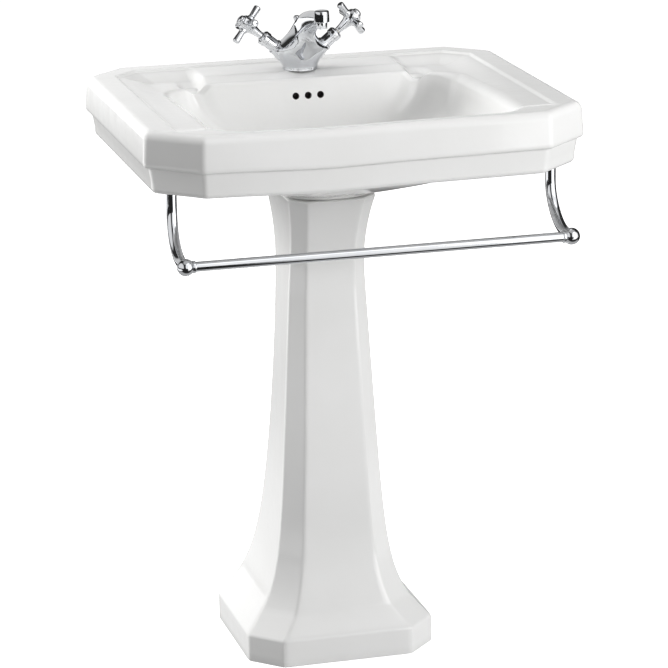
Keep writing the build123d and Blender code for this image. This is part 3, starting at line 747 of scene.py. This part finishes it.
def pedestal_levels():
    """(height, size, corner radius) up the outside, from the floor to the top."""
    insets = ((0, 1.5), (0.5, 0.5), (1.8, 0), (14, 0), (26, 0), (BASE_ROUND_Z, 0))
    levels = [(z, plinth_size(inset), EDGE_R) for z, inset in insets]
    for angle in turn_steps(7, math.radians(52))[1:]:
        size = plinth_size(BASE_ROUND * (1 - math.cos(angle)))
        levels.append((BASE_ROUND_Z + BASE_ROUND * math.sin(angle), size, EDGE_R))
    low_z, low_size = levels[-1][:2]
    for t in np.linspace(0, 1, 9)[1:]:
        size = mixed(low_size, column_size(FOOT_Z), t ** 0.92)
        levels.append((low_z + (FOOT_Z - low_z) * t, size, EDGE_R - 2 * t))
    low_part, high_part = np.linspace(FOOT_Z, 150, 20), np.linspace(150, TOP_Z - TOP_ROUND, 60)
    for z in np.concatenate([low_part[1:], high_part[1:]]):
        levels.append((z, column_size(z), EDGE_R - 2 - 2 * smooth(z, 80, 200)))
    half_x, front, *rest = column_size(TOP_Z)
    for angle in turn_steps(5)[1:]:
        inset = TOP_ROUND * (1 - math.cos(angle))
        size = (half_x - inset, front + inset, *rest)
        levels.append((TOP_Z - TOP_ROUND + TOP_ROUND * math.sin(angle), size, EDGE_R - 4))
    return levels


def shell_span_points():
    """Places round the column from one edge of the back slot to the other, by way of the front."""
    spans, fractions = [], []
    for span, count in ((5, 6), (6, 26), (7, 12), (0, 22), (1, 12), (2, 26), (3, 6)):
        f = span_fractions(60, count, 9)
        spans.append(np.full(len(f), span))
        fractions.append(f)
    return np.concatenate(spans), np.concatenate(fractions)


def pedestal_outline(size, radius, inset=0.0):
    """One open outline, a distance in from the outside. It starts and ends at the back's slot."""
    half_x, front, side_end, front_cut, back_cut = size
    keep = 2 - math.sqrt(2)
    front_cut, back_cut = front_cut - inset * keep, back_cut - inset * keep
    back = side_end + back_cut + inset * (keep - 1)
    corners = octagon(half_x - inset, front + inset, back, (front_cut,) * 2, (back_cut,) * 2)
    spans, fractions = shell_span_points()
    points = octagon_points(corners, max(radius - inset * 0.5, 2.5), spans, fractions)
    edge_left = np.array([[-SLOT_HALF, back], [-(SLOT_HALF + corners[4][0]) / 2, back]])
    edge_right = edge_left[::-1] * (-1, 1)
    return np.concatenate([edge_left, points, edge_right])


def make_pedestal():
    """A shell, open at the back's slot. Each ring goes round the outside and back by the inside."""
    rings = []
    for z, size, radius in pedestal_levels():
        outside = at_height(pedestal_outline(size, radius), z)
        inside = at_height(pedestal_outline(size, radius, PEDESTAL_WALL), z)
        rings.append(np.concatenate([outside, inside[::-1]]))
    count = len(rings[0])
    faces = loft_faces(len(rings), count)
    last = (len(rings) - 1) * count
    for i in range(count // 2 - 1):
        faces.append((i + 1, i, count - 1 - i, count - 2 - i))
        faces.append((last + i, last + i + 1, last + count - 2 - i, last + count - 1 - i))
    return new_object("pedestal_china", np.concatenate(rings), faces, sharp=55)


# ---------------- mixer tap
def valve_place(side, distance=0.0):
    """Puts a turned part on one valve's axis, at a distance from where the axes meet."""
    run, rise = math.cos(TAP_TILT), math.sin(TAP_TILT)
    along = Vector((side * run, 0, rise))
    across = Vector((0, 1, 0))
    third = along.cross(across)
    place = Matrix((across, third, along)).transposed().to_4x4()
    place.translation = Vector((0, TAP_Y, TAP_AXIS_Z)) + along * distance
    return place


def casting_section(t):
    """The tap body's section at t, from 0 at the foot to 1 where the spout meets the nozzle.

    Gives its front's Y and height, its back's Y and height, its half width and the power of its
    outline: 2 is an ellipse and more is squarer. Heights are above the foot. Rows begin with t.
    """
    table = np.array([
        (0.00, 140.7, -1.7, 191.3, -1.7, 25.3, 2.0),
        (0.05, 140.6, 3.0, 191.4, 3.0, 25.3, 2.0),
        (0.12, 138.0, 9.0, 192.0, 9.0, 27.6, 2.0),
        (0.20, 134.0, 15.0, 192.2, 15.0, 31.2, 2.1),
        (0.28, 130.6, 21.0, 191.5, 21.0, 35.0, 2.3),
        (0.35, 127.4, 27.0, 190.5, 27.0, 38.5, 2.5),
        (0.41, 124.2, 32.5, 188.6, 34.1, 35.5, 2.5),
        (0.47, 120.6, 38.5, 184.9, 43.0, 27.0, 2.3),
        (0.54, 115.8, 45.2, 176.5, 55.0, 18.6, 2.2),
        (0.62, 109.0, 52.4, 161.0, 69.5, 14.2, 2.2),
        (0.71, 99.0, 60.0, 139.0, 82.0, 12.6, 2.2),
        (0.80, 85.0, 67.4, 113.0, 90.2, 11.8, 2.2),
        (0.90, 66.0, 74.4, 80.5, 95.8, 11.0, 2.3),
        (1.00, 43.5, 80.2, 45.5, 98.9, 10.2, 2.4),
    ])
    return [hermite(t, table[:, 0], table[:, column]) for column in range(1, 7)]


def make_tap_casting():
    """The foot, the shoulders and the spout in one skin, with a faint keel down the front."""
    angles = np.linspace(0, 2 * math.pi, 96, endpoint=False)
    c, s = np.cos(angles), np.sin(angles)
    rings = []
    for t in np.linspace(0, 1, 90):
        front_y, front_z, back_y, back_z, half_x, power = casting_section(t)
        keel = 1 + 0.03 * smooth(-s, 0.9, 1.0) * smooth(t, 0.02, 0.1) * (1 - smooth(t, 0.22, 0.4))
        x = half_x * np.sign(c) * np.abs(c) ** (2 / power)
        share = (1 + np.sign(s) * np.abs(s) ** (2 / power) * keel) / 2
        y = front_y + (back_y - front_y) * share
        z = TAP_FOOT_Z + front_z + (back_z - front_z) * share
        rings.append(np.stack([x, y, z], 1))
    return lofted("tap_casting", rings, sharp=50)


def make_nozzle():
    """The round head that the spout ends in, hollow from below for the aerator."""
    place = Matrix.Translation((0, NOZZLE_Y, 0))
    low = NOZZLE_LOW_Z
    profile = rounded([(0.01, low + 9), (8.0, low + 9, 0), (8.0, low, 0.3), (10.9, low, 0.8),
                       (10.6, low + 9, 2), (10.2, NOZZLE_TOP_Z - 0.6, 2.6), (6, NOZZLE_TOP_Z, 3),
                       (0.01, NOZZLE_TOP_Z)], 1)
    return turned("tap_nozzle", profile, place, sharp=35)


def wing_collar(side):
    """The round shoulder at the end of each wing, where the bonnet screws in."""
    profile = rounded([(0.01, 20), (13.5, 20, 0), (13.0, 34, 6), (10.9, 43, 2), (10.9, 46.2, 0.6),
                       (0.01, 46.2)], 1)
    return turned("wing", profile, valve_place(side), sharp=35)


def make_tap_body():
    """The casting with its nozzle, its collars and the boss that the lift rod comes out of."""
    pieces = [make_tap_casting(), make_nozzle(), wing_collar(-1), wing_collar(1)]
    boss = rounded([(0.01, 0), (5.2, 0, 0), (4.6, 30, 1.5), (0.01, 30)], 1)
    boss_place = Matrix.Translation((0, LIFT_ROD_Y, TAP_FOOT_Z + 10))
    return joined("tap_body_chrome", pieces + [turned("lift_boss", boss, boss_place)], sharp=38)


def make_bonnet(side, name):
    profile = rounded([(5.0, 45.8), (11.3, 45.8, 0.5), (11.3, 48.6, 0.8), (9.6, 49.4, 0.4),
                       (9.4, 62.0, 0.5), (10.7, 63.4, 0.5), (10.7, 70.2, 1.2), (7.4, 73.2, 0.6),
                       (5.0, 73.4)], 0.5)
    return turned(f"{name}_bonnet_chrome", profile, valve_place(side))


def cross_arm_place(side, turn):
    """Puts an arm, drawn along Z, square to the valve's axis at one of four turns."""
    place = valve_place(side, HANDLE_REACH)
    angle = math.radians(ARM_TURN + 90 * turn)
    return place @ Matrix.Rotation(angle, 4, "Z") @ Matrix.Rotation(math.pi / 2, 4, "Y")


def make_handle(side, name):
    hub = rounded([(3.8, 74), (5.0, 74, 0.4), (5.3, 80, 3), (7.4, 91, 4), (9.2, 94.5, 1),
                   (10.6, 96.5, 1.2), (11.4, 104, 4), (10.2, 110.4, 1.2), (3.8, 110.6)], 0.6)
    pieces = [turned("hub", hub, valve_place(side))]
    arm = rounded([(0.01, 6), (5.9, 6, 0), (5.9, 12.2, 0.8), (4.7, 13.2, 0.6), (4.5, 15, 1),
                   (5.4, 29.8, 1.6), (3.6, 31.2, 1.0), (0.01, 31.4)], 0.6)
    for turn in range(4):
        pieces.append(turned("arm", arm, cross_arm_place(side, turn), around=40))
    return joined(f"{name}_handle_chrome", pieces, sharp=38)


def make_index_cap(side, name):
    profile = rounded([(0.01, 109.6), (8.4, 109.6, 0), (8.4, 111.6, 0.6), (7.2, 112.4, 0.4),
                       (6.6, 114.6, 2.2), (3.4, 116.2, 2.4), (0.01, 116.6)], 0.5)
    return turned(f"{name}_cap_chrome", profile, valve_place(side), around=48)


def make_aerator():
    place = Matrix.Translation((0, NOZZLE_Y, 0))
    low, high = AERATOR_LOW_Z, NOZZLE_LOW_Z + 6
    profile = rounded([(6.4, high), (6.4, low, 0.3), (7.6, low, 0.5),
                       (7.8, NOZZLE_LOW_Z - 0.4, 0.3), (7.9, NOZZLE_LOW_Z + 0.2, 0.2),
                       (7.9, high, 0)], 0.3)
    return turned("aerator_chrome", profile + [(6.4, high)], place, around=48)


def make_lift_knob():
    top = node_box("lift_knob")[1][2]
    place = Matrix.Translation((0, LIFT_ROD_Y, top))
    profile = rounded([(0.01, -8.6), (2.6, -8.6, 0.3), (3.0, -7.4, 0.6), (4.6, -5.0, 1.8),
                       (4.5, -2.0, 1.8), (2.6, -0.2, 1.4), (0.01, 0)], 0.5)
    return turned("lift_knob_chrome", profile, place, around=40)


# ---------------- towel rail
def bent_tube(name, points, radius):
    """A tube round a centre line that keeps about the same X all along."""
    angles = np.linspace(0, 2 * math.pi, 48, endpoint=False)
    side = np.array([1.0, 0, 0])
    rings = []
    for i, point in enumerate(points):
        before = points[max(i - 1, 0)]
        after = points[min(i + 1, len(points) - 1)]
        tangent = (after - before) / np.linalg.norm(after - before)
        up = np.cross(tangent, side)
        circle = np.outer(np.cos(angles), side) + np.outer(np.sin(angles), up)
        rings.append(point + radius * circle)
    return lofted(name, rings, sharp=50)


def bracket_line(x):
    """From the ball end straight back, round the bend and up to the basin."""
    corner_y, corner_z = BRACKET_POST_Y - BRACKET_BEND_R, RAIL_Z + BRACKET_BEND_R
    line = [(y, RAIL_Z) for y in np.linspace(RAIL_Y + 7, corner_y, 4)[:-1]]
    for angle in turn_steps(40):
        line.append((corner_y + BRACKET_BEND_R * math.sin(angle),
                     corner_z - BRACKET_BEND_R * math.cos(angle)))
    line += [(BRACKET_POST_Y, z) for z in np.linspace(corner_z, SKIRT_Z - 4.8, 5)[1:]]
    return [np.array([x, y, z]) for y, z in line]


def rail_place(x, angle, axis):
    """Turns a part that is drawn along Z, and puts it on the bar's axis."""
    return Matrix.Translation((x, RAIL_Y, RAIL_Z)) @ Matrix.Rotation(angle, 4, axis)


def make_rail_bracket(side, name):
    """The bent tube, whose post leans in a little, and the collar where it leaves the ball."""
    points = []
    for point in bracket_line(side * RAIL_X):
        lean = side * BRACKET_LEAN * smooth(point[2], RAIL_Z, RAIL_Z + 60)
        points.append(point - (lean, 0, 0))
    tube = bent_tube("tube", points, RAIL_TUBE_R)
    profile = rounded([(6.9, 9.0), (8.6, 9.0, 0.4), (8.8, 12.4, 0.8), (6.9, 13.2)], 0.4)
    collar = turned("collar", profile, rail_place(side * RAIL_X, -math.pi / 2, "X"))
    return joined(f"rail_bracket_{name}_chrome", [tube, collar])


def make_rail_ball(side, name):
    """A ball with a collar towards the bar."""
    profile = [(max(RAIL_BALL_R * math.sin(angle), 0.01), -RAIL_BALL_R * math.cos(angle))
               for angle in np.linspace(0, 2.42, 30)]
    profile += rounded([(7.9, 8.9, 0), (8.3, 9.6, 0.3), (8.3, 12.6, 0.7), (6.9, 13.4)], 0.4)
    profile += [(6.85, 6.0), (0.01, 6.0)]
    place = rail_place(side * RAIL_X, -side * math.pi / 2, "Y")
    return turned(f"rail_ball_{name}_chrome", profile, place, sharp=40)


def make_rail_bar():
    end = RAIL_X - 6.2
    stations = np.linspace(-end, end, 40)
    profile = [(0.01, -end)] + [(RAIL_BAR_R, station) for station in stations] + [(0.01, end)]
    return turned("rail_bar_chrome", profile, rail_place(0, math.pi / 2, "Y"))


def finish_piece(piece, slot, body, replaced):
    """Gives a new piece its material, its body and the CAD nodes it stands for."""
    if not piece.data.materials:
        piece.data.materials.append(MATERIALS[slot])
    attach(piece, body)
    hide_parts(*replaced)


# ---------------- build the pieces
finish_piece(make_basin(), "china", "root", ["basin"])
finish_piece(make_pedestal(), "china", "root", ["pedestal"])
finish_piece(make_tap_body(), "chrome", "root", ["tap_body"])
finish_piece(make_aerator(), "chrome", "root", ["aerator_housing"])
finish_piece(make_lift_knob(), "chrome", "lift", ["lift_knob"])
finish_piece(make_rail_bar(), "chrome", "root", ["rail_bar"])
for hand, side in (("hot", -1), ("cold", 1)):
    finish_piece(make_bonnet(side, hand), "chrome", "root", [f"{hand}_bonnet"])
    finish_piece(make_handle(side, hand), "chrome", f"{hand}_head", [f"{hand}_handle"])
    finish_piece(make_index_cap(side, hand), "chrome", f"{hand}_head", [f"{hand}_index_cap"])
for hand, side in (("left", -1), ("right", 1)):
    finish_piece(make_rail_bracket(side, hand), "chrome", "root", [f"rail_bracket_{hand}"])
    finish_piece(make_rail_ball(side, hand), "chrome", "root", [f"rail_ball_{hand}"])

# The nodes that nothing replaces keep their CAD mesh and take the material of their slot.
slot_of = {part["node"]: part["material_slot"] for part in frame["record"]["subparts"]}
for node_name, node in nodes.items():
    node.data.materials.clear()
    node.data.materials.append(MATERIALS[slot_of[node_name]])


# ---------------- studio
# Light levels: 1 is white. A fill is for matt surfaces, and the rest is what shiny ones mirror.
FLOOR_FILL, FLOOR_DARK = 0.375, 0.02
STUDIO_FILL, STUDIO_DARK = 0.21, 0.03
FLOOR_SLANT = 0.21  # how far the last patch's left edge turns with Y
# Patches under the sink, far to its left and in front to the right: level, and edges, each a
# measure and where the patch is dark and bright along it.
FLOOR_PATCHES = (
    (0.45, (("y", -0.62, -0.38), ("y", 1.5, 0.7), ("off_middle", 1.5, 0.9))),
    (1.3, (("x", -1.2, -1.6), ("x", -3.3, -3.05), ("y", -1.25, -0.95))),
    (0.9, (("slant", -0.2, 0.0), ("y", -1.0, -1.3))),
)
# Round panels of the studio: toward, cosines where each begins and is full, level.
STUDIO_PANELS = (
    ((0.56, -0.78, 0.3), 0.66, 0.76, 1.1),
    ((-1.0, -0.1, 0.1), 0.62, 0.78, 0.85),
    ((-0.1, 1.0, -0.15), 0.80, 0.93, 0.65),
    ((0.1, -0.2, 1.0), 0.80, 0.90, 0.5),
)
# Name, place, target, size, watts, whether it lights matt surfaces and whether it is mirrored.
SOFT_BOXES = (
    ("key", (2.15, -2.4, 1.3), (0, 0, 0.75), (1.6, 2.0), 82, True, False),
    ("left_back", (-2.3, 1.68, 1.5), (0, 0, 0.8), (1.6, 2.0), 116, True, False),
    ("top", (0.2, 0.3, 2.8), (0, 0, 0.5), (2.6, 2.2), 28, True, False),
    ("streak", (1.45, -1.95, 0.95), (0, 0, 0.75), (1.5, 1.9), 18, False, True),
)
CAMERA_AT = (-1.15843, -4.28863, 1.73145)
CAMERA_TURNS = (15.12, 15.79, -0.818)  # yaw, pitch down and roll, in degrees
CAMERA_LENS, CAMERA_SENSOR = 175.1, 36


def ray_kinds(tree):
    """Whether a ray is lighting a matt surface, and whether it is mirrored in a glossy one."""
    path = tree.nodes.new("ShaderNodeLightPath")
    return path.outputs["Is Diffuse Ray"], path.outputs["Is Glossy Ray"]


def calculated(tree, operation, *values):
    """A sum over numbers and sockets, as a socket."""
    node = tree.nodes.new("ShaderNodeMath")
    node.operation = operation
    for socket, value in zip(node.inputs, values):
        if isinstance(value, (int, float)):
            socket.default_value = value
        else:
            tree.links.new(value, socket)
    return node.outputs[0]


def blended(tree, share, low, high):
    """low where share is 0 and high where it is 1."""
    lift = calculated(tree, "SUBTRACT", high, low)
    return calculated(tree, "MULTIPLY_ADD", lift, share, low)


def stepped(tree, value, low, high):
    """A soft step from 0 at low to 1 at high."""
    node = tree.nodes.new("ShaderNodeMapRange")
    node.interpolation_type = "SMOOTHSTEP"
    node.inputs["From Min"].default_value = low
    node.inputs["From Max"].default_value = high
    tree.links.new(value, node.inputs["Value"])
    return node.outputs["Result"]


def floor_mirrored(tree, x, y):
    """How bright the floor is at a place, where a shiny piece mirrors it."""
    measures = {"x": x, "y": y}
    measures["off_middle"] = calculated(tree, "ABSOLUTE", x)
    measures["slant"] = calculated(tree, "MULTIPLY_ADD", y, FLOOR_SLANT, x)
    level = FLOOR_DARK
    for bright, edges in FLOOR_PATCHES:
        share = 1.0
        for measure, low, high in edges:
            edge = stepped(tree, measures[measure], low, high)
            share = calculated(tree, "MULTIPLY", share, edge)
        level = calculated(tree, "MULTIPLY_ADD", share, bright, level)
    return level


def make_floor():
    """A pale floor that matt surfaces, shiny surfaces and the camera each see in their own way."""
    bpy.ops.mesh.primitive_plane_add(size=40, location=(0, 0, 0))
    floor = bpy.context.object
    floor.name = "studio_floor"
    material, tree, surface = shader("pale_floor")
    tint = ramped(tree, noise(tree, 3, 2), (0.3, 0.93), (0.7, 0.96))
    tree.links.new(tint, surface.inputs["Base Color"])
    surface.inputs["Roughness"].default_value = 0.9
    surface.inputs["Specular IOR Level"].default_value = 0.0
    surface.inputs["Emission Color"].default_value = (1, 1, 1, 1)
    surface.inputs["Emission Strength"].default_value = 0.8
    place = tree.nodes.new("ShaderNodeTexCoord")
    axes = tree.nodes.new("ShaderNodeSeparateXYZ")
    tree.links.new(place.outputs["Object"], axes.inputs["Vector"])
    mirrored = floor_mirrored(tree, axes.outputs["X"], axes.outputs["Y"])
    is_diffuse, is_glossy = ray_kinds(tree)
    glow = tree.nodes.new("ShaderNodeEmission")
    tree.links.new(blended(tree, is_glossy, FLOOR_FILL, mirrored), glow.inputs["Strength"])
    mix = tree.nodes.new("ShaderNodeMixShader")
    tree.links.new(calculated(tree, "MAXIMUM", is_diffuse, is_glossy), mix.inputs["Fac"])
    tree.links.new(surface.outputs["BSDF"], mix.inputs[1])
    tree.links.new(glow.outputs["Emission"], mix.inputs[2])
    tree.links.new(mix.outputs["Shader"], tree.nodes["Material Output"].inputs["Surface"])
    floor.data.materials.append(material)


def soft_box(name, location, target, size, power, matt, mirrored):
    """An area light that lights matt surfaces, shows in shiny ones, or both."""
    data = bpy.data.lights.new(name, "AREA")
    data.shape = "RECTANGLE"
    data.size, data.size_y = size
    data.energy = power
    light = linked(name, data)
    light.location = location
    aim = Vector(target) - Vector(location)
    light.rotation_euler = aim.to_track_quat("-Z", "Y").to_euler()
    light.visible_camera = False
    light.visible_diffuse = matt
    light.visible_glossy = mirrored


def make_world():
    """White to the camera, a soft fill to matt surfaces, and panels in the dark to shiny ones."""
    world = bpy.data.worlds.new("studio")
    world.use_nodes = True
    tree = world.node_tree
    background = tree.nodes["Background"]
    background.inputs["Color"].default_value = (1, 1, 1, 1)
    place = tree.nodes.new("ShaderNodeTexCoord")
    mirrored = STUDIO_DARK
    for toward, low, high, level in STUDIO_PANELS:
        dot = tree.nodes.new("ShaderNodeVectorMath")
        dot.operation = "DOT_PRODUCT"
        tree.links.new(place.outputs["Generated"], dot.inputs[0])
        dot.inputs[1].default_value = Vector(toward).normalized()
        mask = stepped(tree, dot.outputs["Value"], low, high)
        mirrored = calculated(tree, "MULTIPLY_ADD", mask, level, mirrored)
    is_diffuse, is_glossy = ray_kinds(tree)
    strength = blended(tree, is_diffuse, 1.0, STUDIO_FILL)
    strength = blended(tree, is_glossy, strength, mirrored)
    tree.links.new(strength, background.inputs["Strength"])
    bpy.context.scene.world = world


def make_camera():
    """A long lens from the left of the front, a little above the rim."""
    yaw, pitch, roll = (math.radians(angle) for angle in CAMERA_TURNS)
    level = math.cos(pitch)
    ahead = Vector((math.sin(yaw) * level, math.cos(yaw) * level, -math.sin(pitch)))
    right = ahead.cross(Vector((0, 0, 1))).normalized()
    up = right.cross(ahead)
    tilted_right = math.cos(roll) * right + math.sin(roll) * up
    tilted_up = -math.sin(roll) * right + math.cos(roll) * up
    data = bpy.data.cameras.new("camera")
    data.sensor_width = CAMERA_SENSOR
    data.lens = CAMERA_LENS
    data.clip_end = 100
    camera = linked("camera", data)
    place = Matrix((tilted_right, tilted_up, -ahead)).transposed().to_4x4()
    place.translation = CAMERA_AT
    camera.matrix_world = place
    bpy.context.scene.camera = camera


make_floor()
make_world()
for light_values in SOFT_BOXES:
    soft_box(*light_values)
make_camera()
bpy.context.scene.view_settings.view_transform = "Standard"
